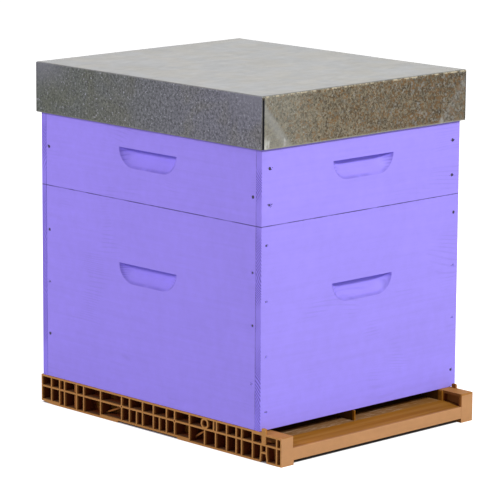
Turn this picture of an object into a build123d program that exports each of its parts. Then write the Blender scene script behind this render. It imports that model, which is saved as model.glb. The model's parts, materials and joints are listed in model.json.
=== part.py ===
from build123d import *
import os

# A ten-frame beehive: moulded floor, brood box, super, crown board and flat metal roof.
# Millimetres, +Z up, the entrance faces -Y. The origin is on the ground, under the middle of the
# space that the whole hive takes up.

# Boxes: stacked wooden boxes with rebated, nailed corners
BOX_W = 430.0
BOX_D = 500.0
WALL = 25.0
BROOD_H = 310.0
SUPER_H = 170.0
CORNER_LIP = 11.0  # outer part of an end board, which covers the end of the side board
EDGE_R = 0.8
JOINT_BEVEL = 0.5

# Hand-hold: a dished pocket under a straight top edge, in every board
GRIP_W = 130.0
GRIP_FLAT = 66.0
GRIP_H = 30.0
GRIP_DEPTH = 14.0
GRIP_MID_H = 18.0
GRIP_MID_DEPTH = 9.5
# top of the box to the pocket's top edge, in the end boards and in the side boards
BROOD_GRIP_DROPS = (105.5, 99.5)
SUPER_GRIP_DROPS = (88.0, 88.0)

# Corner nails
NAIL_R = 1.4
NAIL_L = 50.0
NAIL_TIP = 4.0
NAIL_TIP_R = 0.3
NAIL_HEAD_R = 2.6
NAIL_HEAD_T = 1.2
NAIL_SINK = 0.5
NAIL_FIT = 0.05
# rows in the end faces, then in the side faces near the front and near the back:
# heights above the foot of the box, and depths below its top
BROOD_END_NAILS = ((28.0, 112.5), (29.0, 113.5))
BROOD_SIDE_NAILS = (((70.0, 159.0), (71.0,)), ((70.0, 154.5), (71.0,)))
BROOD_NAIL_INSET = 11.0
SUPER_END_NAILS = ((31.0, 86.0), (19.0,))
SUPER_SIDE_NAILS = (((43.0,), (50.0,)), ((62.0,), (50.0,)))
SUPER_NAIL_INSET = 16.5

# Frames hang in the rebates of the end boards
TOP_SPACE = 7.0
FOOT_SPACE = 3.0
END_SPACE = 7.5
BAR_W = 25.0
BAR_T = 20.0
LUG_T = 10.0
LUG_PLAY = 4.0
SIDE_T = 9.0
BOTTOM_W = 19.0
BOTTOM_T = 10.0
BROOD_PITCH = 37.5
SUPER_PITCH = 42.0
SHOULDER_H = 90.0
SHOULDER_PLAY = 0.6
GROOVE_W = 4.0
GROOVE_D = 5.0
WAX_T = 3.0
WAX_PLAY = 0.8

# Metal runners under the frame lugs
RUNNER_T = 1.0
RUNNER_BACK = 8.0
RUNNER_PLAY = 0.5
TOOTH_H = 7.0
NOTCH_PLAY = 1.0
TACK_R = 0.8
TACK_L = 12.0
TACK_HEAD_R = 2.4
TACK_HEAD_T = 0.8
TACK_FIT = 0.05

# Moulded floor: two ribbed rails with a landing sill, grid and crossbar between them
FLOOR_H = 46.0
FLOOR_NARROWER = 9.0
FLOOR_SHIFT = -5.5  # the box stands a little off the floor's middle
LANDING = 47.0
FLOOR_TAIL = 3.5
RAIL_W = 26.0
RAIL_BACK = 3.0
FLANGE = 2.8
RIB = 2.6
MID_RIB_DROP = 18.5
RIBS_FRONT = (10.5, 62, 85.5, 97.5, 118.5, 201, 234.5, 253, 283, 308)
RIBS_REAR = (338.5, 357, 407, 447.5, 464.5, 494, 506, 526)
RIBS_UPPER = (140.5, 147)
RIBS_LOWER = (142.5, 167, 269, 322)
LEAST_CELL = 2.0
STIFFENERS = ((85.5, 91.5), (471, 475), (494, 500.5))
STIFFENER_SET_BACK = 5.0
ARCH_FROM = 228.0
ARCH_TO = 366.0
ARCH_RISE = 3.0
HEEL_L = 28.0
HEEL_RISE = 3.0
TAB_GAP = 4.6
TAB_W = 9.0
TAB_T = 3.0
TAB_H = 6.5
TAB_R = 2.0
NOTCH_H = 14.0
NOTCH_FLARE = 2.0  # each side of the notch, at the ground
RING_AT = 167.0
RING_R = 8.4
RING_BORE = 5.6
BOSS_AT = (234.5, 357)
BOSS_R = 3.2
BOSS_BORE = 1.4
BOSS_BORE_L = 12.0
BRACES = ((167, 201), (357, 407))
BRACE_FOOT = 7.0
BRACE_SET_BACK = 12.0
LEDGE_W = 8.0
LEDGE_T = 3.0
BLOCK_WALL = 5.5  # front of the rail, before the hollow beside the sill
BLOCK_TOP = 4.0
LEFT_FRONT_DROP = 2.0  # the left rail is lower at its front end, clear of the box
FRONT_DROP_L = 60.0
BLOCK_HOLLOW = 8.0
BLOCK_R = 3.0
HOLLOW_R = 2.0

# Landing sill and entrance
DECK_DROP = 16.5
DECK_T = 3.0
DECK_BACK = 50.0
KNEE = 10.0
SILL_DROP = 4.0
SILL_R = 1.2
APRON_CLEAR = 7.0
APRON_RIBS = 5
APRON_RIB_RISE = 2.0
DECK_RIB_H = 6.0
WEB_OFFSET = -10.5
WEB_T = 2.4
WEB_PLAY = 0.3
WEB_FRONT = 4.0
WEB_BACK = 35.0
POST_T = 3.0
POST_FRONTS = (5.0, -8.0)  # left and right post, from the front of the box

# Crossbar, ventilation grid and inspection tray
CROSS_D = 22.0
CROSS_CLEAR = 20.5
CROSS_CELL = 40.0
GRID_PLAY = 0.5
GRID_BORDER = 12.0
GRID_SLOT_L = 110.0
GRID_SLOT_W = 4.0
GRID_PITCH_X = 116.0
GRID_PITCH_Y = 9.0
TRAY_LEDGE_Z = 6.0
TRAY_LIFT = 0.3
TRAY_PLAY = 1.0
TRAY_T = 2.0
TRAY_RIM = 8.0
TRAY_FRONT_GAP = 3.0
TRAY_PULL_H = 10.0
TRAY_PULL_T = 6.0

# Crown board and feed plug
CROWN_T = 10.0
BATTEN_W = 30.0
BATTEN_T = 10.0
FEED_R = 25.0
FEED_BACK = 60.0
PLUG_PLAY = 0.5
PLUG_FLANGE_R = 31.0
PLUG_FLANGE_T = 2.0
PLUG_KNOB_R = 10.0
PLUG_KNOB_H = 5.0
PLUG_EDGE = 0.8

# Roof: one folded sheet over a lining board
ROOF_SKIRT = 80.0
ROOF_GAP = 5.2
SHEET = 0.8
ROOF_BEND = 2.4
LINING_T = 5.0
LINING_PLAY = 2.0
CORNER_SLIT = 2.5
CORNER_BRIDGE = 4.0
EAR_W = 52.0
EAR_GAP = 0.15

CUT = 1.0  # how far a cutting shape runs past a face

# Heights that follow from the sizes above
BROOD_Z = FLOOR_H
SUPER_Z = BROOD_Z + BROOD_H
CROWN_Z = SUPER_Z + SUPER_H
BATTEN_Z = CROWN_Z + CROWN_T
LINING_Z = BATTEN_Z + BATTEN_T
ROOF_TOP = LINING_Z + LINING_T + SHEET
DECK_Z = FLOOR_H - DECK_DROP
REBATE_D = WALL - CORNER_LIP
REBATE_H = TOP_SPACE + LUG_T + RUNNER_T

# Plan positions that follow from the sizes above
ROOF_OVER = ROOF_GAP + SHEET
BOX_Y = (LANDING - max(ROOF_OVER, FLOOR_TAIL)) / 2
FRONT = BOX_Y - BOX_D / 2
BACK = BOX_Y + BOX_D / 2
SIDE = BOX_W / 2
FLOOR_W = BOX_W - FLOOR_NARROWER
FLOOR_LEFT = FLOOR_SHIFT - FLOOR_W / 2
FLOOR_RIGHT = FLOOR_SHIFT + FLOOR_W / 2
FLOOR_FRONT = FRONT - LANDING
FLOOR_REAR = BACK + FLOOR_TAIL
BAY_LEFT = FLOOR_LEFT + RAIL_W
BAY_RIGHT = FLOOR_RIGHT - RAIL_W
DECK_END = FRONT + DECK_BACK
CROSS_FRONT = FLOOR_REAR - CROSS_D
INSIDE_W = BOX_W - 2 * WALL
FRAME_L = BOX_D - 2 * WALL - 2 * END_SPACE
LUG_L = BOX_D - 2 * WALL + 2 * (REBATE_D - LUG_PLAY)


def block(x0, x1, y0, y1, z0, z1):
    """A cuboid between two corners."""
    middle = Pos((x0 + x1) / 2, (y0 + y1) / 2, (z0 + z1) / 2)
    return middle * Box(abs(x1 - x0), abs(y1 - y0), abs(z1 - z0))


def post(radius, height):
    """A cylinder that stands on the origin."""
    return Cylinder(radius, height, align=(Align.CENTER, Align.CENTER, Align.MIN))


def spread(first, last, count):
    """Evenly spaced places from first to last."""
    step = (last - first) / (count - 1)
    return [first + step * i for i in range(count)]


# Nails and tacks


def nail(grow=0.0, above=0.0):
    """A nail that points along +Z with its head's top on z = 0, or with grow the hole that it fills."""
    head = Pos(0, 0, -above) * post(NAIL_HEAD_R + grow, NAIL_HEAD_T + above)
    shank = post(NAIL_R + grow, NAIL_L - NAIL_TIP)
    tip_at = Pos(0, 0, NAIL_L - NAIL_TIP)
    tip = Cone(NAIL_R + grow, NAIL_TIP_R + grow, NAIL_TIP, align=(Align.CENTER, Align.CENTER, Align.MIN))
    return head + shank + tip_at * tip


def nail_levels(z0, height, rows):
    """Levels of a column of nails, some set out from the box's foot and the rest from its top."""
    from_foot, from_top = rows
    return [z0 + up for up in from_foot] + [z0 + height - down for down in from_top]


def nail_planes(z0, height, end_rows, side_rows, inset):
    """Where a box's nails go in: its end faces and its side faces, at each corner."""
    side_inset = CORNER_LIP + REBATE_D / 2
    planes = []
    for way in (-1, 1):
        for z in nail_levels(z0, height, end_rows):
            for y, inward in ((FRONT + NAIL_SINK, 1), (BACK - NAIL_SINK, -1)):
                planes.append(Plane((way * (SIDE - inset), y, z), z_dir=(0, inward, 0)))
        for y, rows in zip((FRONT + side_inset, BACK - side_inset), side_rows):
            for z in nail_levels(z0, height, rows):
                planes.append(Plane((way * (SIDE - NAIL_SINK), y, z), z_dir=(-way, 0, 0)))
    return planes


def tack(grow=0.0):
    """A tack that points down, with the underside of its head on z = 0."""
    shank = Pos(0, 0, -TACK_L) * post(TACK_R + grow, TACK_L + grow)
    return shank + post(TACK_HEAD_R + grow, TACK_HEAD_T + grow)


def tack_places(z0, height, pitch, count):
    """Three tacks in each runner, in gaps between the lugs."""
    places = []
    for gap in (0, (count - 1) // 2, count - 2):
        x = frame_x(gap, pitch, count) + pitch / 2
        for y in (FRONT + CORNER_LIP + REBATE_D / 2, BACK - CORNER_LIP - REBATE_D / 2):
            places.append(Pos(x, y, z0 + height - REBATE_H + RUNNER_T))
    return places


# Box boards


def grip_cutter():
    """The hand-hold's pocket for a board with its outer face on y = 0. Its top edge is on z = 0."""
    chord = (GRIP_W - GRIP_FLAT) / 2
    rim_r = (chord**2 + GRIP_DEPTH**2) / (2 * GRIP_DEPTH)
    heel_r = rim_r - GRIP_DEPTH
    rim = (rim_r, 0)
    heel = (heel_r, -GRIP_H)
    bowl_line = ThreePointArc(rim, (heel_r + GRIP_MID_DEPTH, -GRIP_MID_H), heel)
    outline = [Line((0, 0), rim), bowl_line, Line(heel, (0, -GRIP_H)), Line((0, -GRIP_H), (0, 0))]
    half_section = make_face(Curve() + outline)
    bowl = revolve(Plane.XZ * half_section, axis=Axis.Z)
    middle = extrude(Plane.YZ * half_section, amount=GRIP_FLAT / 2, both=True)
    ends = [Pos(way * GRIP_FLAT / 2, 0, 0) * bowl for way in (-1, 1)]
    return Pos(0, -heel_r, 0) * (middle + ends)


def end_board(height, grip_drop):
    """A front or back board with its outer face on y = 0: rebated ends and top, and a hand-hold."""
    board = block(-SIDE, SIDE, 0, WALL, 0, height)
    board = fillet(board.edges().filter_by_position(Axis.Y, 0, 0), EDGE_R)
    board -= block(-SIDE - CUT, SIDE + CUT, CORNER_LIP, WALL + CUT, height - REBATE_H, height + CUT)
    for way in (-1, 1):
        board -= block(way * (SIDE - WALL), way * (SIDE + CUT), CORNER_LIP, WALL + CUT, -CUT, height + CUT)
    return board - Pos(0, 0, height - grip_drop) * grip_cutter()


def side_board(height, grip_drop):
    """A side board with its outer face on y = 0. Its ends butt against the lips of the end boards."""
    half = BOX_D / 2 - CORNER_LIP
    board = block(-half, half, 0, WALL, 0, height)
    outer = board.edges().filter_by_position(Axis.Y, 0, 0)
    board = fillet(outer.filter_by(Axis.X), EDGE_R)
    outer = board.edges().filter_by_position(Axis.Y, 0, EDGE_R)
    board = chamfer(outer.filter_by(Axis.Z), JOINT_BEVEL)
    return board - Pos(0, 0, height - grip_drop) * grip_cutter()


def box_boards(name, z0, height, grip_drops, planes):
    """The four boards of a box, with holes for its nails."""
    end_drop, side_drop = grip_drops
    end = end_board(height, end_drop)
    side = side_board(height, side_drop)
    boards = {
        "front": Pos(0, FRONT, z0) * end,
        "back": Pos(0, BACK, z0) * Rot(0, 0, 180) * end,
        "left": Pos(-SIDE, BOX_Y, z0) * Rot(0, 0, -90) * side,
        "right": Pos(SIDE, BOX_Y, z0) * Rot(0, 0, 90) * side,
    }
    hole = nail(NAIL_FIT, NAIL_SINK + CUT)
    holes = [plane * hole for plane in planes]
    return {f"{name}_{place}_board": board - holes for place, board in boards.items()}


# Frames


def frame_count(pitch, widest):
    """How many frames hang side by side in a box."""
    return int((INSIDE_W - widest) // pitch) + 1


def frame_x(index, pitch, count):
    """The middle of one frame."""
    return (index - (count - 1) / 2) * pitch


def frame_pieces(x, z0, height, shoulder_w):
    """One frame's pieces. With shoulders, the upper side bars reach out to the next frames."""
    top = z0 + height - TOP_SPACE
    bar_z = top - BAR_T
    low = z0 + FOOT_SPACE
    inner = FRAME_L / 2 - SIDE_T

    def about(width, length, z_low, z_high):
        return block(x - width / 2, x + width / 2, BOX_Y - length / 2, BOX_Y + length / 2, z_low, z_high)

    top_bar = about(BAR_W, FRAME_L, bar_z, top) + about(BAR_W, LUG_L, top - LUG_T, top)
    top_bar -= about(GROOVE_W, 2 * inner, bar_z - CUT, bar_z + GROOVE_D)
    bottom_bar = about(BOTTOM_W, 2 * inner, low, low + BOTTOM_T)
    bottom_bar -= about(GROOVE_W, 2 * inner + CUT, low + BOTTOM_T - GROOVE_D, low + BOTTOM_T + CUT)
    wax_top = bar_z + GROOVE_D - WAX_PLAY
    wax = about(WAX_T, 2 * (inner - WAX_PLAY), low + BOTTOM_T - GROOVE_D, wax_top)
    side_bars = []
    for way in (-1, 1):
        y0 = BOX_Y + way * inner
        y1 = BOX_Y + way * FRAME_L / 2
        bar = block(x - BAR_W / 2, x + BAR_W / 2, y0, y1, low, bar_z)
        if shoulder_w > BAR_W:
            bar += block(x - shoulder_w / 2, x + shoulder_w / 2, y0, y1, bar_z - SHOULDER_H, bar_z)
        side_bars.append(bar)
    return {"top_bar": [top_bar], "side_bar": side_bars, "bottom_bar": [bottom_bar], "wax_sheet": [wax]}


def frame_set(name, z0, height, pitch, count, shoulder_w):
    """All frames of a box. The middle one lifts out, so its pieces have nodes of their own."""
    lifted = count // 2
    kinds = {}
    for index in range(count):
        pieces = frame_pieces(frame_x(index, pitch, count), z0, height, shoulder_w)
        for kind, solids in pieces.items():
            node = f"{name}_lift_frame_{kind}" if index == lifted else f"{name}_{kind}s"
            kinds.setdefault(node, []).extend(solids)
    return {node: Compound(children=solids) for node, solids in kinds.items()}


def plain_runner():
    """Angle strip on the rebate of an end board whose outer face is on y = 0 and whose top is z = 0."""
    half = SIDE - WALL - RUNNER_PLAY
    foot = block(-half, half, CORNER_LIP, WALL, -REBATE_H, -REBATE_H + RUNNER_T)
    return foot + block(-half, half, CORNER_LIP, CORNER_LIP + RUNNER_T, -REBATE_H, -REBATE_H + RUNNER_BACK)


def notched_runner(pitch, count):
    """Strip with teeth between the lugs, which keep the frames apart."""
    half = SIDE - WALL - RUNNER_PLAY
    foot_top = -REBATE_H + RUNNER_T
    foot = block(-half, half, CORNER_LIP, WALL, -REBATE_H, foot_top)
    teeth = block(-half, half, WALL - RUNNER_T, WALL, foot_top, foot_top + TOOTH_H)
    notch_half = (BAR_W + NOTCH_PLAY) / 2
    for index in range(count):
        x = frame_x(index, pitch, count)
        teeth -= block(
            x - notch_half, x + notch_half, CORNER_LIP, WALL + CUT, foot_top, foot_top + TOOTH_H + CUT
        )
    return foot + teeth


def box_set(name, z0, height, grip_drops, planes, pitch, shoulder_w, notched):
    """A whole box: boards, nails, runners, tacks and frames."""
    count = frame_count(pitch, shoulder_w)
    nodes = box_boards(name, z0, height, grip_drops, planes)
    nodes[f"{name}_nails"] = Compound(children=[plane * nail() for plane in planes])
    runner = notched_runner(pitch, count) if notched else plain_runner()
    places = tack_places(z0, height, pitch, count)
    holes = [place * tack(TACK_FIT) for place in places]
    for end in ("front", "back"):
        nodes[f"{name}_{end}_board"] -= holes
    shanks = [place * Pos(0, 0, -TACK_L) * post(TACK_R + TACK_FIT, TACK_L) for place in places]
    nodes[f"{name}_front_runner"] = Pos(0, FRONT, z0 + height) * runner - shanks
    nodes[f"{name}_back_runner"] = Pos(0, BACK, z0 + height) * Rot(0, 0, 180) * runner - shanks
    nodes[f"{name}_runner_tacks"] = Compound(children=[place * tack() for place in places])
    nodes.update(frame_set(name, z0, height, pitch, count, shoulder_w))
    return nodes


# Floor


def floor_rail(front_drop):
    """The left rail with its outer face on x = 0: open cells outside, ledges for deck and tray inside."""
    length = FLOOR_REAR - FLOOR_FRONT
    mid = FLOOR_H - MID_RIB_DROP
    tab_front = LANDING - TAB_GAP - TAB_W
    tab_rear = LANDING - TAB_GAP
    notch_ribs = (tab_front - RIB / 2, tab_rear + RIB / 2)
    heel_at = length - HEEL_L
    ends = (RIB / 2, length - RIB / 2)

    def kept(*groups):
        return sorted({s for group in groups for s in group if RIB <= s <= length - RIB} | set(ends))

    upper = kept(RIBS_FRONT, RIBS_REAR, RIBS_UPPER)
    lower = kept(RIBS_FRONT, RIBS_REAR, RIBS_LOWER, notch_ribs)
    rail = block(0, RAIL_W, FLOOR_FRONT, FLOOR_REAR, 0, FLOOR_H)
    depth = RAIL_W - RAIL_BACK
    front_depth = depth - BLOCK_HOLLOW
    cells = []
    for a, b in zip(upper, upper[1:]):
        drop = front_drop if a < LANDING else 0.0
        cells.append((a, b, mid + RIB / 2, FLOOR_H - FLANGE - drop))
    for a, b in zip(lower, lower[1:]):
        raised = ARCH_RISE if a < ARCH_TO and b > ARCH_FROM else 0.0
        if b > heel_at:
            raised = HEEL_RISE
        floor_z = NOTCH_H + RIB if (a, b) == notch_ribs else FLANGE + raised
        cells.append((a, b, floor_z, mid - RIB / 2))
    for a, b, z_low, z_high in cells:
        if b - a - RIB > LEAST_CELL:
            back = front_depth if a < LANDING else depth
            rail -= block(-CUT, back, FLOOR_FRONT + a + RIB / 2, FLOOR_FRONT + b - RIB / 2, z_low, z_high)
    rail -= sill_hollow()
    for a, b in STIFFENERS:
        rail += block(STIFFENER_SET_BACK, depth, FLOOR_FRONT + a, FLOOR_FRONT + b, FLANGE, FLOOR_H - FLANGE)

    # arch between the feet, sloping heel and the notch that is open below
    rail -= block(-CUT, RAIL_W + CUT, FLOOR_FRONT + ARCH_FROM, FLOOR_FRONT + ARCH_TO, -CUT, ARCH_RISE)
    heel = Polyline(
        (FLOOR_REAR - HEEL_L, 0), (FLOOR_REAR + CUT, HEEL_RISE),
        (FLOOR_REAR + CUT, -CUT), (FLOOR_REAR - HEEL_L, -CUT), close=True,
    )
    rail -= extrude(Plane.YZ * make_face(heel), amount=RAIL_W)
    legs = (FLOOR_FRONT + tab_front - RIB, FLOOR_FRONT + tab_rear + RIB)
    rail += flared_prism(*legs, 0, NOTCH_H + RIB, front_depth)
    rail -= Pos(-CUT, 0, 0) * flared_prism(legs[0] + RIB, legs[1] - RIB, 0, NOTCH_H, front_depth + CUT)

    # lower front end, which keeps its outer wall behind the tab
    if front_drop:
        steps = ((-CUT, -CUT, tab_front), (TAB_T, tab_front - CUT, FRONT_DROP_L))
        for x, a, b in steps:
            rail -= block(
                x, RAIL_W + CUT, FLOOR_FRONT + a, FLOOR_FRONT + b, FLOOR_H - front_drop, FLOOR_H + CUT
            )

    # upright tab, ring, screw bosses and braces in the cells
    tab = block(0, TAB_T, FLOOR_FRONT + tab_front, FLOOR_FRONT + tab_rear, mid, FLOOR_H + TAB_H)
    tab = fillet(tab.edges().filter_by(Axis.X).group_by(Axis.Z)[-1], TAB_R)
    rail += tab
    row_mid = (mid + RIB / 2 + FLOOR_H - FLANGE) / 2
    ring = Rot(0, 90, 0) * (post(RING_R, depth) - post(RING_BORE, depth))
    rail += Pos(0, FLOOR_FRONT + RING_AT, row_mid) * ring
    for station in BOSS_AT:
        at = Pos(0, FLOOR_FRONT + station, mid) * Rot(0, 90, 0)
        rail += at * post(BOSS_R, depth)
        rail -= at * post(BOSS_BORE, BOSS_BORE_L)
    for a, b in BRACES:
        rail += brace(FLOOR_FRONT + b, FLOOR_FRONT + a, BRACE_FOOT, mid)

    # ledges inside: deck and grid lie on the upper one, the tray runs on the lower one
    ledge = block(RAIL_W, RAIL_W + LEDGE_W, FRONT, CROSS_FRONT, DECK_Z - DECK_T - LEDGE_T, DECK_Z - DECK_T)
    runner = block(RAIL_W, RAIL_W + LEDGE_W, DECK_END, FLOOR_REAR, TRAY_LEDGE_Z, TRAY_LEDGE_Z + LEDGE_T)
    return rail + ledge + runner


def flared_prism(y0, y1, low, high, depth):
    """A block that spreads towards its foot, from x = 0 inwards."""
    line = Polyline((y0 - NOTCH_FLARE, low), (y1 + NOTCH_FLARE, low), (y1, high), (y0, high), close=True)
    return extrude(Plane.YZ * make_face(line), amount=depth)


def sill_hollow():
    """Cut from the left rail's inner face: the hollow above the sill and the corner in front of it."""
    sill_z = DECK_Z - SILL_DROP
    knee = FRONT - KNEE
    start = FLOOR_FRONT + BLOCK_WALL
    start_z = sill_z + SILL_DROP * BLOCK_WALL / (knee - FLOOR_FRONT)
    roof_z = FLOOR_H - BLOCK_TOP
    line = Polyline((start, start_z), (knee, DECK_Z), (knee, roof_z), (start, roof_z), close=True)
    hollow = extrude(Plane.YZ * make_face(line), amount=BLOCK_HOLLOW + CUT)
    hollow = fillet(hollow.edges().filter_by(Axis.X).group_by(Axis.Z)[-1], HOLLOW_R)
    corner = block(-BLOCK_R, CUT, FLOOR_FRONT - CUT, FLOOR_FRONT + BLOCK_R, sill_z, FLOOR_H + CUT)
    corner -= Pos(-BLOCK_R, FLOOR_FRONT + BLOCK_R, sill_z) * post(BLOCK_R, FLOOR_H)
    return [Pos(RAIL_W - BLOCK_HOLLOW, 0, 0) * hollow, Pos(RAIL_W, 0, 0) * corner]


def brace(y0, y1, z0, z1):
    """A diagonal web deep inside a cell."""
    slope = Vector(0, y1 - y0, z1 - z0)
    depth = RAIL_W - RAIL_BACK - BRACE_SET_BACK
    middle = ((BRACE_SET_BACK + RAIL_W - RAIL_BACK) / 2, (y0 + y1) / 2, (z0 + z1) / 2)
    lie = Plane(middle, x_dir=(1, 0, 0), z_dir=Vector(1, 0, 0).cross(slope))
    return lie * Box(depth, slope.length - RIB, RIB)


def landing_board():
    """Sloping sill with its apron, the flat deck under the entrance, the middle web and closing posts."""
    sill_z = DECK_Z - SILL_DROP
    knee = FRONT - KNEE
    under = DECK_Z - DECK_T
    inner = FLOOR_FRONT + DECK_T
    width = BAY_RIGHT - BAY_LEFT
    section = Polyline(
        (FLOOR_FRONT, APRON_CLEAR), (FLOOR_FRONT, sill_z), (knee, DECK_Z), (DECK_END, DECK_Z),
        (DECK_END, under), (knee, under), (inner, sill_z - DECK_T), (inner, APRON_CLEAR), close=True,
    )
    board = Pos(BAY_LEFT, 0, 0) * extrude(Plane.YZ * make_face(section), amount=width)
    nose = board.edges().filter_by(Axis.X).group_by(Axis.Y)[0].sort_by(Axis.Z)[-1]
    board = fillet(nose, SILL_R)
    rib_section = Polyline(
        (inner, APRON_CLEAR + APRON_RIB_RISE), (inner, sill_z - DECK_T), (knee, under), (DECK_END, under),
        (DECK_END, under - DECK_RIB_H), close=True,
    )
    rib = extrude(Plane.YZ * make_face(rib_section), amount=RIB / 2, both=True)
    board += [Pos(x, 0, 0) * rib for x in spread(BAY_LEFT, BAY_RIGHT, APRON_RIBS + 2)[1:-1]]
    top = FLOOR_H - WEB_PLAY
    web_x = FLOOR_SHIFT + WEB_OFFSET
    board += block(web_x - WEB_T / 2, web_x + WEB_T / 2, FRONT - WEB_FRONT, FRONT + WEB_BACK, DECK_Z, top)
    for wall, way, start in zip((BAY_LEFT, BAY_RIGHT), (1, -1), POST_FRONTS):
        board += block(wall, wall + way * POST_T, FRONT + start, FRONT + WEB_BACK, DECK_Z, top)
    return board


def rear_crossbar():
    """Bar between the rails' rear ends, with open cells to the rear. The tray passes below it."""
    bar = block(BAY_LEFT, BAY_RIGHT, CROSS_FRONT, FLOOR_REAR, CROSS_CLEAR, FLOOR_H)
    cells = int((BAY_RIGHT - BAY_LEFT) // CROSS_CELL)
    walls = spread(BAY_LEFT + RIB / 2, BAY_RIGHT - RIB / 2, cells + 1)
    for a, b in zip(walls, walls[1:]):
        bar -= block(
            a + RIB / 2, b - RIB / 2, CROSS_FRONT + RAIL_BACK, FLOOR_REAR + CUT,
            CROSS_CLEAR + FLANGE, FLOOR_H - FLANGE,
        )
    return bar


def vent_grid():
    """Slotted plate between the deck and the crossbar."""
    x0 = BAY_LEFT + GRID_PLAY
    x1 = BAY_RIGHT - GRID_PLAY
    y0 = DECK_END + GRID_PLAY
    y1 = CROSS_FRONT - GRID_PLAY
    columns = int((x1 - x0 - 2 * GRID_BORDER - GRID_SLOT_L) // GRID_PITCH_X) + 1
    rows = int((y1 - y0 - 2 * GRID_BORDER - GRID_SLOT_W) // GRID_PITCH_Y) + 1
    slots = GridLocations(GRID_PITCH_X, GRID_PITCH_Y, columns, rows) * Rectangle(GRID_SLOT_L, GRID_SLOT_W)
    sheet = Rectangle(x1 - x0, y1 - y0) - slots
    return Pos((x0 + x1) / 2, (y0 + y1) / 2, DECK_Z - DECK_T) * extrude(sheet, amount=DECK_T)


def inspection_tray():
    """Shallow tray under the grid, with a pull along its rear edge."""
    x0 = BAY_LEFT + TRAY_PLAY
    x1 = BAY_RIGHT - TRAY_PLAY
    y0 = DECK_END + TRAY_FRONT_GAP
    z0 = TRAY_LEDGE_Z + LEDGE_T + TRAY_LIFT
    tray = block(x0, x1, y0, FLOOR_REAR, z0, z0 + TRAY_RIM)
    rear_wall = FLOOR_REAR - TRAY_PULL_T
    tray -= block(x0 + TRAY_T, x1 - TRAY_T, y0 + TRAY_T, rear_wall, z0 + TRAY_T, z0 + TRAY_RIM + CUT)
    return tray + block(x0, x1, rear_wall, FLOOR_REAR, z0, z0 + TRAY_PULL_H)


# Cover and roof


def feed_plug():
    """Stepped plug with a low knob."""
    plug = post(FEED_R - PLUG_PLAY, CROWN_T)
    plug += Pos(0, 0, CROWN_T) * post(PLUG_FLANGE_R, PLUG_FLANGE_T)
    plug += Pos(0, 0, CROWN_T + PLUG_FLANGE_T) * post(PLUG_KNOB_R, PLUG_KNOB_H)
    return fillet(plug.edges().group_by(Axis.Z)[-1], PLUG_EDGE)


def crown_set():
    """Crown board, its battens and the plug in its feed hole."""
    feed = Pos(0, BOX_Y + FEED_BACK, CROWN_Z)
    panel = block(-SIDE, SIDE, FRONT, BACK, CROWN_Z, BATTEN_Z) - feed * post(FEED_R, CROWN_T)
    cross = [block(-SIDE, SIDE, y, y + BATTEN_W, BATTEN_Z, LINING_Z) for y in (FRONT, BACK - BATTEN_W)]
    long = [
        block(x, x + BATTEN_W, FRONT + BATTEN_W, BACK - BATTEN_W, BATTEN_Z, LINING_Z)
        for x in (-SIDE, SIDE - BATTEN_W)
    ]
    return {
        "crown_panel": panel,
        "crown_cross_battens": Compound(children=cross),
        "crown_long_battens": Compound(children=long),
        "feed_plug": feed * feed_plug(),
    }


def roof_sheet():
    """Flat cap folded from one sheet. At each corner the end skirt stops short of an ear behind it."""
    x = SIDE + ROOF_OVER
    front = FRONT - ROOF_OVER
    back = BACK + ROOF_OVER
    low = ROOF_TOP - ROOF_SKIRT
    shell = block(-x, x, front, back, low, ROOF_TOP)
    shell = fillet(shell.edges().group_by(Axis.Z)[-1], ROOF_BEND)
    hollow = block(-x + SHEET, x - SHEET, front + SHEET, back - SHEET, low - CUT, ROOF_TOP - SHEET)
    shell -= fillet(hollow.edges().group_by(Axis.Z)[-1], ROOF_BEND - SHEET)
    inside = x - SHEET
    ear_line = Polyline((0, low), (EAR_W, low), (0, ROOF_TOP - ROOF_BEND), close=True)
    for end, inward in ((front, 1), (back, -1)):
        inner_face = end + inward * (SHEET + EAR_GAP)
        for way in (-1, 1):
            shell -= block(
                way * inside, way * (inside - CORNER_SLIT),
                end - inward * CUT, end + inward * (SHEET + EAR_GAP / 2),
                low - CUT, ROOF_TOP - CORNER_BRIDGE,
            )
            lie = Plane((way * inside, inner_face, 0), x_dir=(-way, 0, 0), z_dir=(0, way, 0))
            shell += extrude(lie * make_face(ear_line), amount=SHEET, dir=(0, inward, 0))
    return shell


def roof_lining():
    """Board under the sheet, which lies on the battens."""
    x = SIDE + ROOF_GAP - LINING_PLAY
    y_room = ROOF_GAP - LINING_PLAY
    return block(-x, x, FRONT - y_room, BACK + y_room, LINING_Z, LINING_Z + LINING_T)


def floor_set():
    """Floor pieces and the tray."""
    return {
        "floor_left_rail": Pos(FLOOR_LEFT, 0, 0) * floor_rail(LEFT_FRONT_DROP),
        "floor_right_rail": Pos(FLOOR_RIGHT, 0, 0) * mirror(floor_rail(0.0), about=Plane.YZ),
        "landing_board": landing_board(),
        "rear_crossbar": rear_crossbar(),
        "vent_grid": vent_grid(),
        "inspection_tray": inspection_tray(),
    }


def hive():
    """Every node of the hive by name."""
    brood_planes = nail_planes(BROOD_Z, BROOD_H, BROOD_END_NAILS, BROOD_SIDE_NAILS, BROOD_NAIL_INSET)
    super_planes = nail_planes(SUPER_Z, SUPER_H, SUPER_END_NAILS, SUPER_SIDE_NAILS, SUPER_NAIL_INSET)
    shoulder = BROOD_PITCH - SHOULDER_PLAY
    brood = box_set("brood", BROOD_Z, BROOD_H, BROOD_GRIP_DROPS, brood_planes, BROOD_PITCH, shoulder, False)
    honey = box_set("super", SUPER_Z, SUPER_H, SUPER_GRIP_DROPS, super_planes, SUPER_PITCH, BAR_W, True)
    nodes = {**floor_set(), **brood, **honey, **crown_set()}
    nodes["roof_lining"] = roof_lining()
    nodes["roof_sheet"] = roof_sheet()
    return nodes


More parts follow.
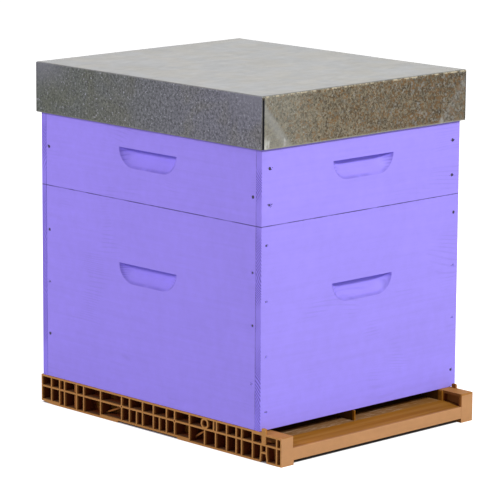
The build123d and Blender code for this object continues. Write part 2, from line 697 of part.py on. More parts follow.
os.makedirs("parts", exist_ok=True)
for node, solid in hive().items():
    export_step(solid, f"parts/{node}.step")
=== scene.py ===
import json
import math

import bpy
from mathutils import Matrix, Vector


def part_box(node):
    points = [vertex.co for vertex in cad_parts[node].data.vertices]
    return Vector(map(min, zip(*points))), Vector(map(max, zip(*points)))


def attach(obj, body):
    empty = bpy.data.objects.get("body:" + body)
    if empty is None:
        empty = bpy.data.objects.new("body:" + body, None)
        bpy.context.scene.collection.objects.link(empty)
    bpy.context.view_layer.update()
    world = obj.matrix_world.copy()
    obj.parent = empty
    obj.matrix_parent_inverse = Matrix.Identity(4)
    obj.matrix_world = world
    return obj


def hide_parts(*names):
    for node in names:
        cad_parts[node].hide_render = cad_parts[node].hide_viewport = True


# A wooden beehive in violet paint under a galvanised roof, on an ochre moulded floor.
# Metres, in the frame of the hive: +Z up, entrance towards -Y.

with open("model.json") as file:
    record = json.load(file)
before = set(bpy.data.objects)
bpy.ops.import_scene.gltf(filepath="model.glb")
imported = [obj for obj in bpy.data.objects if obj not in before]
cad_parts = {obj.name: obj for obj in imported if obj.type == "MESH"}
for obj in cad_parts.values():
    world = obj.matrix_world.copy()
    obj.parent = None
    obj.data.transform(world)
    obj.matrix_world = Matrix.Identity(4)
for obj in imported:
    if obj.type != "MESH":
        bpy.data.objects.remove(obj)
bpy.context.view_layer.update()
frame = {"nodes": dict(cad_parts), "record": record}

MM = 0.001
NODES = frame["nodes"]
BODY_OF = {n: body for body, names in frame["record"]["behaviour"]["bodies"].items() for n in names}
SLOT_OF = {row["node"]: row["material_slot"] for row in frame["record"]["subparts"]}

# Boxes and floor, from the frame
BOX_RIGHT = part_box("brood_right_board")[1].x
BOX_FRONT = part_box("brood_front_board")[0].y
BOX_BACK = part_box("brood_back_board")[1].y
BROOD_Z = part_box("brood_front_board")[0].z
SUPER_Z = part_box("super_front_board")[0].z
SUPER_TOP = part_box("super_front_board")[1].z
BOX_MID_Y = (BOX_FRONT + BOX_BACK) / 2
HALF_DEPTH = (BOX_BACK - BOX_FRONT) / 2
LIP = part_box("brood_left_board")[0].y - BOX_FRONT
FLOOR_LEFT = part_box("floor_left_rail")[0].x
FLOOR_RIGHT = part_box("floor_right_rail")[1].x
FLOOR_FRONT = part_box("floor_left_rail")[0].y
FLOOR_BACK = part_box("floor_left_rail")[1].y
FLOOR_TOP = BROOD_Z

# Hand-holds: half length, half of the straight part, depth, height and top edges
GRIP_HALF = 65 * MM
GRIP_FLAT = 33 * MM
GRIP_DEPTH = 14 * MM
GRIP_TALL = 30 * MM
GRIP_TOPS = {  # in the end boards and in the side boards
    "brood": (SUPER_Z - 105.5 * MM, SUPER_Z - 99.5 * MM),
    "super": (SUPER_TOP - 88 * MM, SUPER_TOP - 88 * MM),
}


def nail_rows(foot, *heights):
    return [foot + height * MM for height in heights]


# Nails: rows at the front and at the back, inset from the corner, length of the cracks beside them
END_NAILS = {
    "brood": ([nail_rows(BROOD_Z, 28, 112.5, 196.5, 281)] * 2, 11 * MM, 3.6 * MM),
    "super": ([nail_rows(SUPER_Z, 31, 86, 151)] * 2, 16.5 * MM, 6.5 * MM),
}
SIDE_NAILS = {
    "brood": ([nail_rows(BROOD_Z, 70, 159, 239), nail_rows(BROOD_Z, 70, 154.5, 239)], 18 * MM, 3.6 * MM),
    "super": ([nail_rows(SUPER_Z, 43, 120), nail_rows(SUPER_Z, 62, 120)], 18 * MM, 5.0 * MM),
}
BARE_HEAD = {"brood": 1.6 * MM, "super": 3.0 * MM}
CRACK_RISE = 2.6 * MM

# Roof sheet and its folds
ROOF_LOW, ROOF_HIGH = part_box("roof_sheet")
ROOF_MID = (ROOF_LOW + ROOF_HIGH) / 2
ROOF_HALF_X = ROOF_HIGH.x
ROOF_HALF_Y = (ROOF_HIGH.y - ROOF_LOW.y) / 2
SHEET = 0.8 * MM
ROOF_BEND = 2.4 * MM
EAR_FOLD = ROOF_HIGH.x - 1.0 * MM
EAR_LENGTH = 62 * MM
EAR_STEP = 2.0 * MM
EAR_TIP = 2 * MM
EAR_LEAN = 0.83
WIDE_SLIT = 4.6 * MM
SLIT = 0.7 * MM
SLIT_TOP = ROOF_HIGH.z - 3.2 * MM
RIPPLE = 0.8 * MM
RIPPLE_WAVE = 160 * MM
RIPPLE_CUTS = (22, 26, 6)

# Hexagons of the wax sheets
HEX = 5.4 * MM
HEX_SIDE = HEX / math.sqrt(3.0)
HEX_ROWS = HEX * math.sqrt(3.0)
CELL_SLOPE = 0.7 * MM
CELL_DEPTH = 0.5 * MM
CELL_POINT = 0.45 * MM

NEAR = 0.05 * MM


# Finishes


class Finish:
    """One material, built up node by node around a single shader."""

    def __init__(self, name, **settings):
        self.material = bpy.data.materials.new(name)
        self.material.use_nodes = True
        self.tree = self.material.node_tree
        self.shader = self.tree.nodes["Principled BSDF"]
        for socket, value in settings.items():
            self.shader.inputs[socket.replace("_", " ")].default_value = value
        self.place = self.add("TexCoord").outputs["Object"]

    def add(self, kind, **settings):
        node = self.tree.nodes.new("ShaderNode" + kind)
        for attribute, value in settings.items():
            setattr(node, attribute, value)
        return node

    def feed(self, socket, value):
        """Links a socket to another node's output, or sets it."""
        if isinstance(value, bpy.types.NodeSocket):
            self.tree.links.new(value, socket)
        else:
            socket.default_value = value

    def split(self, vector):
        node = self.add("SeparateXYZ")
        self.feed(node.inputs[0], vector)
        return node.outputs["X"], node.outputs["Y"], node.outputs["Z"]

    def axes(self):
        """The three parts of the place."""
        return self.split(self.place)

    def facing(self):
        """The three parts of the surface's direction."""
        return self.split(self.add("NewGeometry").outputs["True Normal"])

    def scaled(self, *factors):
        """The place with each axis stretched by its own factor."""
        mapping = self.add("Mapping")
        self.feed(mapping.inputs["Vector"], self.place)
        mapping.inputs["Scale"].default_value = factors
        return mapping.outputs["Vector"]

    def noise(self, scale, detail=2.0, roughness=0.5, at=None, distortion=0.0):
        node = self.add("TexNoise")
        self.feed(node.inputs["Vector"], self.place if at is None else at)
        node.inputs["Scale"].default_value = scale
        node.inputs["Detail"].default_value = detail
        node.inputs["Roughness"].default_value = roughness
        node.inputs["Distortion"].default_value = distortion
        return node.outputs["Fac"]

    def math(self, operation, a, b=0.0, c=0.0):
        node = self.add("Math", operation=operation)
        for socket, value in zip(node.inputs, (a, b, c)):
            self.feed(socket, value)
        return node.outputs[0]

    def plus(self, a, b):
        return self.math("ADD", a, b)

    def minus(self, a, b):
        return self.math("SUBTRACT", a, b)

    def times(self, a, b):
        return self.math("MULTIPLY", a, b)

    def over(self, a, b):
        return self.math("DIVIDE", a, b)

    def distance(self, a, b):
        """Length of a way whose two parts lie square to each other."""
        return self.math("SQRT", self.plus(self.math("POWER", a, 2.0), self.math("POWER", b, 2.0)))

    def step(self, value, low, high, to_low=0.0, to_high=1.0):
        """A smooth rise between two values."""
        node = self.add("MapRange", interpolation_type="SMOOTHSTEP")
        self.feed(node.inputs["Value"], value)
        self.feed(node.inputs["From Min"], low)
        self.feed(node.inputs["From Max"], high)
        self.feed(node.inputs["To Min"], to_low)
        self.feed(node.inputs["To Max"], to_high)
        return node.outputs["Result"]

    def mix(self, share, a, b, blend="MIX"):
        node = self.add("Mix", data_type="RGBA", blend_type=blend)
        for socket, value in zip((node.inputs[0], node.inputs[6], node.inputs[7]), (share, a, b)):
            if isinstance(value, tuple):
                value = (*value, 1.0)
            self.feed(socket, value)
        return node.outputs[2]

    def tinted(self, colour, value, low, high):
        """A colour made darker or lighter by a 0 to 1 value."""
        factor = self.math("MULTIPLY_ADD", value, high - low, low)
        grey = self.add("CombineColor")
        for socket in grey.inputs[:3]:
            self.feed(socket, factor)
        return self.mix(1.0, colour, grey.outputs[0], "MULTIPLY")

    def colour(self, value):
        self.feed(self.shader.inputs["Base Color"], value)

    def rough(self, value, low, high):
        self.feed(self.shader.inputs["Roughness"], self.step(value, 0.0, 1.0, low, high))

    def relief(self, height, distance, strength=1.0):
        node = self.add("Bump")
        node.inputs["Distance"].default_value = distance
        node.inputs["Strength"].default_value = strength
        self.feed(node.inputs["Height"], height)
        self.feed(self.shader.inputs["Normal"], node.outputs["Normal"])


def grain(axis, along=7.0, across=190.0):
    """Stretch of a pattern whose streaks run along one axis."""
    return tuple(along if letter == axis else across for letter in "XYZ")


def off_middle(finish, x, y):
    """Distances from the middle of the hive, sideways and lengthways."""
    return finish.math("ABSOLUTE", x), finish.math("ABSOLUTE", finish.minus(y, BOX_MID_Y))


# Wood and paint


VIOLET = (0.352, 0.276, 0.90)
# bluer violet painted at the foot of the end boards, against the sill's orange bounce light
VIOLET_FOOT_AGAINST_BOUNCE = (0.364, 0.289, 0.99)
VIOLET_DEEP = (0.045, 0.032, 0.16)
# deep violet of the painted shade in the hand-holds, also the tone of the end grain
VIOLET_SHADE_AND_END_GRAIN = (0.20, 0.145, 0.70)
# strokes of the end grain, and the painted shade along the hand-holds' rims
VIOLET_GRAIN_AND_RIM_SHADE = (0.105, 0.068, 0.42)
PINE = (0.56, 0.37, 0.19)
PINE_DARK = (0.36, 0.20, 0.085)
PAINT_EDGE = 1.0 * MM
RING_STEP = 5.5 * MM
END_RING_STEP = 5.2 * MM


def pine_colour(finish, stretch):
    """Planed softwood with its grain along the axis that stretch leaves smallest, and its fibres."""
    at = finish.scaled(*stretch)
    bands = finish.noise(1.0, 4.0, 0.6, at, 0.6)
    fibre = finish.noise(4.0, 2.0, 0.6, at)
    wood = finish.mix(finish.step(bands, 0.35, 0.7), PINE, PINE_DARK)
    return finish.tinted(wood, fibre, 0.85, 1.15), fibre


def brushed_paint(finish, along, z):
    """Violet laid on with a brush, bluer at the foot of the end boards as a painted correction against the
    orange light that the sill bounces onto them; its streaks and brush marks.
    """
    streaks = finish.noise(1.0, 3.0, 0.55, finish.scaled(*grain(along)), 0.4)
    brushed = finish.noise(60.0, 3.0, 0.65)
    cloud = finish.noise(9.0, 2.0, 0.5)
    paint = VIOLET
    if along == "X":
        # painted correction of light: bluer towards the foot, against the orange bounce off the sill
        foot = finish.step(z, BROOD_Z + 100 * MM, BROOD_Z + 8 * MM)
        paint = finish.mix(foot, VIOLET, VIOLET_FOOT_AGAINST_BOUNCE)
    paint = finish.tinted(paint, streaks, 0.94, 1.06)
    paint = finish.tinted(paint, brushed, 0.94, 1.06)
    return finish.tinted(paint, cloud, 0.96, 1.04), streaks, brushed


def growth_rings(finish, along, z):
    """Waves of the growth rings, and those of their lines that show through the paint."""
    drift = finish.noise(1.0, 1.0, 0.4, finish.scaled(*grain(along, 3.0, 14.0)))
    ring_place = finish.math("MULTIPLY_ADD", drift, 14.0, finish.over(z, RING_STEP))
    rings = finish.math("SINE", finish.times(ring_place, 2 * math.pi))
    shown = finish.step(finish.noise(11.0, 1.0, 0.5, finish.scaled(1.0, 1.0, 1.6)), 0.57, 0.70)
    return rings, finish.times(finish.step(rings, 0.1, 1.0), shown)


def end_grain(finish, paint, off_x, off_y, z):
    """End grain on the ends of the front and back boards."""
    end = finish.step(off_x, BOX_RIGHT - PAINT_EDGE, BOX_RIGHT - 0.5 * PAINT_EDGE)
    slant = finish.math("MULTIPLY_ADD", off_y, 1.3, z)
    curl = finish.noise(26.0, 1.0, 0.5)
    hatch_place = finish.math("MULTIPLY_ADD", curl, 6.0, finish.over(slant, END_RING_STEP))
    hatch = finish.step(finish.math("SINE", finish.times(hatch_place, 2 * math.pi)), -0.2, 1.0)
    clear = finish.step(finish.noise(14.0, 1.0), 0.36, 0.56)
    stroke = finish.times(finish.times(hatch, clear), 0.9)
    end_paint = finish.mix(0.22, paint, VIOLET_SHADE_AND_END_GRAIN)
    return finish.mix(end, paint, finish.mix(stroke, end_paint, VIOLET_GRAIN_AND_RIM_SHADE))


def open_joint(finish, paint, off_y):
    """Dark joint of a side board against the lips of the end boards."""
    lip_place = HALF_DEPTH - LIP
    joint = finish.step(off_y, lip_place - 1.1 * MM, lip_place - 0.4 * MM)
    patchy = finish.step(finish.noise(1.0, 3.0, 0.6, finish.scaled(1.0, 1.0, 24.0)), 0.38, 0.60, 0.15, 0.85)
    return finish.mix(finish.times(joint, patchy), paint, VIOLET_DEEP)


def shaded_grip(finish, paint, rings, lengthways, z, grip_top):
    """Hand-hold: painted shade deep under its top edge, a darker line of painted shade along its rim, torn
    grain at its two ends.
    """
    drop = finish.minus(grip_top, z)
    past_flat = finish.math("MAXIMUM", finish.minus(lengthways, GRIP_FLAT), 0.0)
    rim = finish.distance(finish.over(past_flat, GRIP_HALF - GRIP_FLAT), finish.over(drop, GRIP_TALL))
    below_edge = finish.step(drop, -0.4 * MM, 0.4 * MM)
    in_bowl = finish.times(finish.step(rim, 1.02, 0.99), below_edge)
    # painted shade in the bowl, under the top edge
    shaded = finish.times(in_bowl, finish.step(drop, 9 * MM, 3 * MM))
    paint = finish.mix(finish.times(shaded, 0.65), paint, VIOLET_SHADE_AND_END_GRAIN)
    # painted shade along the bowl's rim, in broken patches
    rim_shade_line = finish.times(finish.step(rim, 0.84, 0.97), finish.step(rim, 1.05, 1.0))
    rim_shade_breaks = finish.step(finish.noise(38.0, 2.0, 0.6), 0.30, 0.65, 0.09, 0.36)
    paint = finish.mix(finish.times(rim_shade_line, finish.times(below_edge, rim_shade_breaks)), paint, VIOLET_GRAIN_AND_RIM_SHADE)
    torn = finish.times(in_bowl, finish.step(lengthways, GRIP_HALF - 20 * MM, GRIP_HALF - 6 * MM))
    return finish.mix(finish.times(torn, finish.step(rings, 0.0, 1.0, 0.03, 0.33)), paint, VIOLET_GRAIN_AND_RIM_SHADE)


def nearest_row(finish, y, z, rows):
    """Height above or below the nearest row of nails, of those at the front or of those at the back."""
    ends = []
    for heights in rows:
        gaps = [finish.math("ABSOLUTE", finish.minus(z, height)) for height in heights]
        nearest = gaps[0]
        for gap in gaps[1:]:
            nearest = finish.math("MINIMUM", nearest, gap)
        ends.append(nearest)
    front, back = ends
    at_back = finish.math("GREATER_THAN", y, BOX_MID_Y)
    return finish.math("MULTIPLY_ADD", at_back, finish.minus(back, front), front)


def nail_cracks(finish, paint, lengthways, half_length, y, z, nails):
    """Paint split along the grain where the nails went in."""
    rows, inset, crack_length = nails
    off_nail = finish.over(finish.minus(lengthways, half_length - inset), crack_length)
    off_row = finish.over(nearest_row(finish, y, z, rows), CRACK_RISE)
    specks = finish.noise(560.0, 2.0, 0.6, finish.scaled(0.45, 0.45, 1.0))
    fading = finish.times(finish.distance(off_nail, off_row), 0.26)
    crack = finish.step(finish.minus(specks, fading), 0.33, 0.44)
    return finish.mix(crack, paint, VIOLET_DEEP)


def seam_shade_and_dirt(finish, paint, z):
    """Darker line along the joint between the boxes: painted shade of the seam, with dirt."""
    off_seam = finish.math("ABSOLUTE", finish.minus(z, SUPER_Z))
    # painted shade of the seam, with dirt
    seam_dark = finish.step(off_seam, 1.1 * MM, 0.3 * MM)
    share = finish.step(finish.noise(26.0, 3.0, 0.6), 0.34, 0.60, 0.35, 0.9)
    return finish.mix(finish.times(seam_dark, share), paint, VIOLET_DEEP)


def painted_faces(finish, off_x, off_y, z, along, grip_top):
    """1 on the outside of the boards and in the hand-hold, 0 on the bare wood."""
    outside_x = finish.step(off_x, BOX_RIGHT - PAINT_EDGE, BOX_RIGHT - 0.6 * PAINT_EDGE)
    outside_y = finish.step(off_y, HALF_DEPTH - PAINT_EDGE, HALF_DEPTH - 0.6 * PAINT_EDGE)
    lengthways, outwards, face = (off_x, off_y, HALF_DEPTH) if along == "X" else (off_y, off_x, BOX_RIGHT)
    grip_foot = grip_top - GRIP_TALL
    grip_floor = face - GRIP_DEPTH
    in_grip = finish.step(lengthways, GRIP_HALF + 4 * MM, GRIP_HALF + 2 * MM)
    for bound in (
        finish.step(z, grip_foot - 2 * MM, grip_foot - 1 * MM),
        finish.step(z, grip_top + 2 * MM, grip_top + 1 * MM),
        finish.step(outwards, grip_floor - 2 * MM, grip_floor - 1 * MM),
    ):
        in_grip = finish.times(in_grip, bound)
    return finish.math("MAXIMUM", finish.math("MAXIMUM", outside_x, outside_y), in_grip)


def violet_boards(name, along, grip_top, nails):
    """Brushed violet paint on the outside of a box's boards, bare pine on the inside."""
    finish = Finish(name, Specular_IOR_Level=0.2)
    x, y, z = finish.axes()
    off_x, off_y = off_middle(finish, x, y)
    paint, streaks, brushed = brushed_paint(finish, along, z)
    rings, ring_line = growth_rings(finish, along, z)
    paint = finish.mix(finish.times(ring_line, 0.085), paint, VIOLET_DEEP)
    if along == "X":
        lengthways, half_length = off_x, BOX_RIGHT
        paint = end_grain(finish, paint, off_x, off_y, z)
    else:
        lengthways, half_length = off_y, HALF_DEPTH
        paint = open_joint(finish, paint, off_y)
    paint = shaded_grip(finish, paint, rings, lengthways, z, grip_top)
    paint = nail_cracks(finish, paint, lengthways, half_length, y, z, nails)
    paint = seam_shade_and_dirt(finish, paint, z)

    wood = pine_colour(finish, grain(along))[0]
    painted = painted_faces(finish, off_x, off_y, z, along, grip_top)
    finish.colour(finish.mix(painted, wood, paint))
    finish.rough(painted, 0.66, 0.52)
    height = finish.math("MULTIPLY_ADD", brushed, 0.5, streaks)
    finish.relief(finish.minus(height, finish.times(ring_line, 0.4)), 0.12 * MM, 0.55)
    return finish.material


def bare_pine(name, stretch, tone=1.0):
    finish = Finish(name, Specular_IOR_Level=0.3)
    wood, fibre = pine_colour(finish, stretch)
    finish.colour(finish.tinted(wood, fibre, 0.95 * tone, 1.05 * tone))
    finish.rough(fibre, 0.55, 0.7)
    finish.relief(fibre, 0.1 * MM, 0.5)
    return finish.material


FIBRE_DARK = (0.20, 0.12, 0.06)
FIBRE_PALE = (0.40, 0.27, 0.15)


def fibre_board():
    finish = Finish("fibre_board", Specular_IOR_Level=0.2)
    flecks = finish.noise(260.0, 4.0, 0.7)
    finish.colour(finish.mix(flecks, FIBRE_DARK, FIBRE_PALE))
    finish.rough(flecks, 0.75, 0.9)
    finish.relief(flecks, 0.15 * MM, 0.5)
    return finish.material


# Plastic and wax


OCHRE = (0.47, 0.20, 0.05)
# painted sheen on the front faces, and painted highlight along the sill's lip
OCHRE_SHEEN = (0.55, 0.285, 0.125)
OCHRE_DEEP = (0.31, 0.118, 0.016)
OCHRE_TOP = (0.43, 0.19, 0.045)
# painted shade and painted light inside the rails' cells, paler on their upward ledges
CELL_SHADE = (0.135, 0.030, 0.007)
CELL_LIT = (0.30, 0.125, 0.018)
CELL_LEDGE = (0.13, 0.085, 0.045)
# painted highlight on the ribs' outer edges
RIB_HIGHLIGHT = (0.52, 0.258, 0.075)
# painted shade on the bay walls that face in
BAY_SHADE = (0.16, 0.05, 0.002)
SLOPE_DEEP = (0.298, 0.113, 0.007)
SLOPE_PALE = (0.385, 0.168, 0.024)
# painted reflection with wear, on the strip below the box's edge
STRIP_SHEEN_AND_WEAR = (0.275, 0.138, 0.053)
SCRATCH = (0.46, 0.31, 0.20)
# painted shadow and stain under the boxes
STAIN_AND_SHADE = (0.085, 0.036, 0.008)
PROPOLIS = (0.12, 0.05, 0.012)
TRAY_WHITE = (0.72, 0.71, 0.67)
AMBER_DEEP = (0.62, 0.33, 0.06)
AMBER_PALE = (0.84, 0.53, 0.14)
RAIL_SKIN = 2.4 * MM
BRACE_DEPTH = 18 * MM
BACK_WALL = 21 * MM


def moulded(name):
    """Start of an ochre plastic: its finish and its two mottles."""
    finish = Finish(name, Specular_IOR_Level=0.07)
    flow = finish.noise(1.0, 3.0, 0.55, finish.scaled(*grain("X", 5.0, 70.0)), 0.5)
    mottle = finish.noise(70.0, 3.0, 0.6)
    finish.rough(mottle, 0.55, 0.7)
    fine = finish.noise(900.0, 2.0, 0.5)
    finish.relief(finish.math("MULTIPLY_ADD", fine, 0.35, flow), 0.08 * MM, 0.4)
    return finish, flow, mottle


def mottled(finish, colour, flow, mottle):
    return finish.tinted(finish.tinted(colour, flow, 0.90, 1.10), mottle, 0.92, 1.08)


def rail_plastic():
    """Plastic of the rails: paler on the front ends as a painted sheen, painted highlights on the rib edges,
    painted shade deep in the open cells.
    """
    finish, flow, mottle = moulded("rail_plastic")
    x, y, z = finish.axes()
    sideways, _, upright = finish.facing()
    depth = finish.math("MINIMUM", finish.minus(x, FLOOR_LEFT), finish.minus(FLOOR_RIGHT, x))
    below_top = finish.step(z, FLOOR_TOP - RAIL_SKIN, FLOOR_TOP - RAIL_SKIN - 0.3 * MM)
    front_end = finish.step(y, FLOOR_FRONT + 0.9 * MM, FLOOR_FRONT + 0.4 * MM)

    # how much of the cells' painted shade a face takes: none on walls that face in, less on the slanting
    # braces
    deep = finish.step(depth, 0.5 * MM, 5 * MM)
    in_cell = finish.times(finish.times(deep, below_top), finish.minus(1.0, front_end))
    outward = finish.times(sideways, finish.math("SIGN", x))
    bay_wall = finish.step(outward, -0.6, -0.8)
    before_wall = finish.step(depth, BRACE_DEPTH + 1 * MM, BRACE_DEPTH - 1 * MM)
    brace = finish.times(finish.step(outward, 0.6, 0.8, 0.0, 0.7), before_wall)
    in_cell = finish.times(in_cell, finish.minus(1.0, finish.plus(bay_wall, brace)))

    # painted shade in the cells: paler and greyer on the ledges that face up, painted light on patches of
    # the back wall
    ledge = finish.times(finish.step(upright, 0.5, 0.9), finish.step(depth, 16 * MM, 2 * MM))
    cell_shade = finish.mix(finish.times(ledge, 0.8), CELL_SHADE, CELL_LEDGE)
    back_wall = finish.step(depth, BACK_WALL - 1 * MM, BACK_WALL + 1 * MM)
    lit_patch = finish.step(finish.noise(26.0, 0.0), 0.55, 0.62)
    cell_shade = finish.mix(finish.times(finish.times(back_wall, lit_patch), 0.9), cell_shade, CELL_LIT)

    # painted highlight along the outer edges of the ribs
    body = finish.mix(finish.step(depth, 0.9 * MM, 0.4 * MM), OCHRE, RIB_HIGHLIGHT)
    # painted sheen on the front ends
    body = finish.mix(front_end, body, OCHRE_SHEEN)
    top_face = finish.times(finish.minus(1.0, below_top), finish.step(depth, 1 * MM, 2.5 * MM))
    body = finish.mix(top_face, body, OCHRE_TOP)
    # painted shade on the bay walls that face in
    body = finish.mix(finish.times(bay_wall, 0.55), body, BAY_SHADE)
    body = mottled(finish, body, flow, mottle)
    # the cells' painted shade laid over the plastic
    finish.colour(finish.mix(in_cell, body, cell_shade))
    return finish.material


def sill_plastic():
    """Plastic of the landing sill: pale apron as a painted sheen, streaked slope with painted shade to the
    right, a pale strip with a painted reflection and wear, painted shadow with stain under the boxes.
    """
    finish, flow, mottle = moulded("sill_plastic")
    x, y, _ = finish.axes()
    upright = finish.facing()[2]
    streak = finish.noise(1.0, 3.0, 0.6, finish.scaled(*grain("X", 4.0, 110.0)), 0.3)
    slope = finish.mix(finish.step(streak, 0.35, 0.7), SLOPE_DEEP, SLOPE_PALE)
    # painted shade, darker towards the right block
    to_right = finish.step(x, FLOOR_RIGHT - 160 * MM, FLOOR_RIGHT - 60 * MM)
    slope = finish.tinted(slope, to_right, 1.0, 0.87)

    # pale strip below the edge of the box, where the front light reaches in under it: a painted reflection
    # of the bright backdrop, with wear and scratches
    scratch = finish.noise(1.0, 3.0, 0.65, finish.scaled(45.0, 260.0, 45.0), 0.5)
    strip_sheen_and_wear = finish.mix(finish.step(scratch, 0.48, 0.66), STRIP_SHEEN_AND_WEAR, SCRATCH)
    near_box = finish.step(y, BOX_FRONT - 6 * MM, BOX_FRONT - 3 * MM)
    strip = finish.times(near_box, finish.step(upright, 0.5, 0.8))
    strip_share = finish.step(x, FLOOR_RIGHT - 50 * MM, FLOOR_RIGHT - 170 * MM, 0.4, 1.0)
    slope = finish.mix(finish.times(strip, strip_share), slope, strip_sheen_and_wear)

    # paler lip and apron: a painted highlight along the lip, a painted sheen on the apron
    lip = finish.step(y, FLOOR_FRONT + 7 * MM, FLOOR_FRONT + 1 * MM, 0.0, 0.55)
    slope = finish.mix(lip, slope, OCHRE_SHEEN)
    apron = finish.step(y, FLOOR_FRONT + 1.4 * MM, FLOOR_FRONT + 0.6 * MM)
    body = mottled(finish, finish.mix(apron, slope, OCHRE_SHEEN), flow, mottle)

    # under the boxes, where the front light doesn't reach, a painted shadow with stain; painted shade on the
    # walls of the entrance and on the underside
    darkening = finish.tinted(STAIN_AND_SHADE, mottle, 0.7, 1.3)
    under_box = finish.step(y, BOX_FRONT + 25 * MM, BOX_FRONT + 29 * MM)
    behind_edge = finish.step(y, BOX_FRONT - 1 * MM, BOX_FRONT + 1 * MM)
    wall = finish.times(behind_edge, finish.step(upright, 0.7, 0.4))
    inside = finish.step(y, FLOOR_FRONT + 1.6 * MM, FLOOR_FRONT + 2.2 * MM)
    below = finish.times(inside, finish.step(upright, -0.2, -0.6))
    hidden = finish.math("MAXIMUM", finish.math("MAXIMUM", under_box, wall), below)
    finish.colour(finish.mix(hidden, body, darkening))
    return finish.material


def floor_plastic():
    """Plastic of the grid and crossbar, brown with propolis."""
    finish, flow, mottle = moulded("floor_plastic")
    darkening = finish.step(finish.noise(18.0, 3.0, 0.6), 0.40, 0.65)
    body = finish.mix(finish.times(darkening, 0.75), OCHRE_DEEP, PROPOLIS)
    finish.colour(mottled(finish, body, flow, mottle))
    return finish.material


def pale_plastic():
    finish = Finish("pale_plastic", Specular_IOR_Level=0.4)
    haze = finish.noise(30.0, 3.0, 0.6)
    finish.colour(finish.tinted(TRAY_WHITE, haze, 0.94, 1.04))
    finish.rough(haze, 0.35, 0.5)
    return finish.material


def beeswax(name, embossed):
    """Amber wax with the hexagons of foundation, raised in the finish unless they are modelled."""
    finish = Finish(name, Specular_IOR_Level=0.35, Subsurface_Weight=0.12, Subsurface_Scale=3 * MM)
    _, y, z = finish.axes()
    nearest = None
    for shift in (0.0, 0.5):
        u = finish.math("MULTIPLY_ADD", y, 1 / HEX, shift)
        v = finish.math("MULTIPLY_ADD", z, 1 / HEX_ROWS, shift)
        du = finish.math("ABSOLUTE", finish.minus(finish.math("FRACT", u), 0.5))
        dv = finish.math("ABSOLUTE", finish.minus(finish.math("FRACT", v), 0.5))
        slanted = finish.math("MULTIPLY_ADD", dv, 1.5, finish.times(du, 0.5))
        reach = finish.math("MAXIMUM", du, slanted)
        nearest = reach if nearest is None else finish.math("MINIMUM", nearest, reach)
    wall = finish.step(nearest, 0.36, 0.46)
    cloud = finish.noise(14.0, 3.0, 0.6)
    amber = finish.mix(cloud, AMBER_DEEP, AMBER_PALE)
    # darker cell floors and paler walls: painted shade in the cells, painted highlight on the walls
    finish.colour(finish.tinted(amber, wall, 0.78, 1.12))
    finish.rough(cloud, 0.38, 0.52)
    if not embossed:
        finish.relief(wall, 0.7 * MM)
    return finish.material


# Zinc and steel


ZINC_TOP = (0.400, 0.402, 0.381)
TOP_COOL = (0.985, 1.0, 1.03)
TOP_WARM = (1.015, 1.0, 0.97)
# painted shade in the crease along the top's edges
CREASE_SHADE = (0.09, 0.095, 0.085)
SIDE_REAR = (0.092, 0.103, 0.085)
SIDE_FRONT = (0.138, 0.142, 0.164)
SIDE_OLIVE = (1.04, 1.0, 0.74)
SIDE_SPANGLE = (0.33, 0.34, 0.36)
SIDE_SMOOTH = (0.185, 0.19, 0.215)
SIDE_HEM = (0.20, 0.20, 0.16)
ZINC_END = (0.166, 0.142, 0.095)
ZINC_PALE = (0.30, 0.30, 0.28)
ZINC_HAZE = (0.25, 0.285, 0.27)
RUST = (0.172, 0.094, 0.033)
RUST_DARK = (0.056, 0.038, 0.018)
OVER_EAR = (0.29, 0.285, 0.25)
EAR_LINE = (0.30, 0.305, 0.30)
LOW_SCUFF = (0.56, 0.56, 0.53)
# painted highlight on the bend below the top
BEND_HIGHLIGHT = (0.46, 0.40, 0.28)
END_HEM = (0.31, 0.30, 0.25)
# painted shade on the sheet seen through the slits
SLIT_SHADE = (0.012, 0.012, 0.016)
BRIGHT_ZINC = (0.62, 0.63, 0.64)
NAIL_OXIDE = (0.035, 0.028, 0.05)


def zinc_top(finish, off_x, off_y):
    """Pale top, partly as a painted reflection of the bright backdrop, with faint wiping marks and stains,
    and a line of painted shade along the crease at its edges.
    """
    top = finish.tinted(ZINC_TOP, finish.noise(9.0, 3.0, 0.55), 0.91, 1.09)
    wiped = finish.noise(1.0, 3.0, 0.6, finish.scaled(30.0, 120.0, 30.0), 0.8)
    top = finish.tinted(top, wiped, 0.86, 1.14)
    top = finish.tinted(top, finish.noise(34.0, 3.0, 0.6, None, 0.6), 0.84, 1.16)
    stained = finish.step(finish.noise(16.0, 3.0, 0.6), 0.40, 0.62)
    top = finish.mix(1.0, top, finish.mix(stained, TOP_COOL, TOP_WARM), "MULTIPLY")
    inset = finish.math("MINIMUM", finish.minus(ROOF_HALF_X, off_x), finish.minus(ROOF_HALF_Y, off_y))
    crease = finish.times(finish.step(inset, 0.7 * MM, 1.3 * MM), finish.step(inset, 3.4 * MM, 2.6 * MM))
    # painted shade in the crease
    return finish.mix(finish.times(crease, 0.75), top, CREASE_SHADE)


